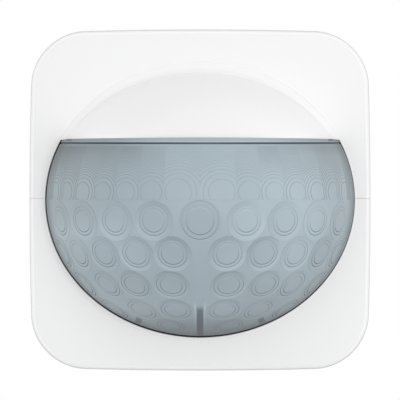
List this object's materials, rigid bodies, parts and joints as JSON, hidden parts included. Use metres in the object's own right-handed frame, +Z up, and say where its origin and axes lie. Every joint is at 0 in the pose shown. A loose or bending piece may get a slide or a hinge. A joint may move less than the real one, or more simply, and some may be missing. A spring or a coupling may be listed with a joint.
{
  "type": "motion sensor light switch",
  "caption": "Wall motion sensor light switch: square white cover plate with a hooded half-dome multi-facet lens, plugged onto a flush insert with a steel support ring.",
  "frame": {"origin": "middle of the device on the wall plane, where the support ring's rear face rests", "axes": "+Y into the wall, the room is towards -Y, +Z up, +X to the right for someone facing the lens"},
  "size_m": [0.081, 0.0788, 0.081],
  "materials": {
    "cover_white": "satin moulded",
    "lens_grey": "milky translucent, moulded lenslets",
    "seal_rubber": "soft matte",
    "base_grey": "fine texture",
    "panel_grey": "fine texture",
    "knob_white": "satin",
    "slider_dark": "satin",
    "trimmer_blue": "satin",
    "board_green": "solder resist",
    "black_plastic": "matte",
    "insert_grey": "fine texture",
    "lid_grey": "fine texture",
    "ring_steel": "zinc plated",
    "screw_steel": "zinc plated",
    "can_metal": "nickel plated",
    "clamp_brass": "plain",
    "relay_case": "moulded",
    "film_case": "potted",
    "bulk_sleeve": "shrink sleeve",
    "varistor_coat": "dipped coating",
    "led_red": "clear tinted",
    "light_cell": "clear coated",
    "terminal_grey": "fine texture"
  },
  "bodies": {
    "insert": {"support_ring": "ring_steel", "insert_housing": "insert_grey", "insert_lid": "lid_grey", "lid_screws": "screw_steel", "power_board": "board_green", "relay": "relay_case", "film_capacitor": "film_case", "bulk_capacitor": "bulk_sleeve", "varistor": "varistor_coat", "insert_socket": "black_plastic", "terminal_block": "terminal_grey", "terminal_clamps": "clamp_brass", "terminal_screws": "screw_steel"},
    "sensor_head": {"lower_cover": "cover_white", "lens_dome": "lens_grey", "lens_seal": "seal_rubber", "sensor_base": "base_grey", "sensor_board": "board_green", "board_screws": "screw_steel", "detector_holder": "black_plastic", "pir_cans": "can_metal", "pir_windows": "black_plastic", "light_sensor": "light_cell", "status_led": "led_red", "light_baffle": "black_plastic", "lens_posts": "black_plastic", "control_panel": "panel_grey", "lux_trimmer": "trimmer_blue", "delay_trimmer": "trimmer_blue", "mode_switch": "black_plastic", "sensor_plug": "black_plastic", "controller_chip": "black_plastic"},
    "cover_cap": {"upper_cover": "cover_white"},
    "lux_dial": {"lux_knob": "knob_white"},
    "delay_dial": {"delay_knob": "knob_white"},
    "mode_key": {"mode_slider": "slider_dark"}
  },
  "joints": [
    {"name": "head_pull", "type": "slide", "parent": "insert", "child": "sensor_head", "axis": [0, -1, 0], "range_m": [0, 0.03]},
    {"name": "cover_pull", "type": "slide", "parent": "sensor_head", "child": "cover_cap", "axis": [0, -1, 0], "range_m": [0, 0.045]},
    {"name": "lux_turn", "type": "hinge", "parent": "sensor_head", "child": "lux_dial", "pos_m": [-0.0126, -0.012, 0.0201], "axis": [0, -1, 0], "range_deg": [-135, 135]},
    {"name": "delay_turn", "type": "hinge", "parent": "sensor_head", "child": "delay_dial", "pos_m": [0.0126, -0.012, 0.0201], "axis": [0, -1, 0], "range_deg": [-135, 135]},
    {"name": "mode_slide", "type": "slide", "parent": "sensor_head", "child": "mode_key", "axis": [1, 0, 0], "range_m": [-0.0025, 0.0025]}
  ]
}
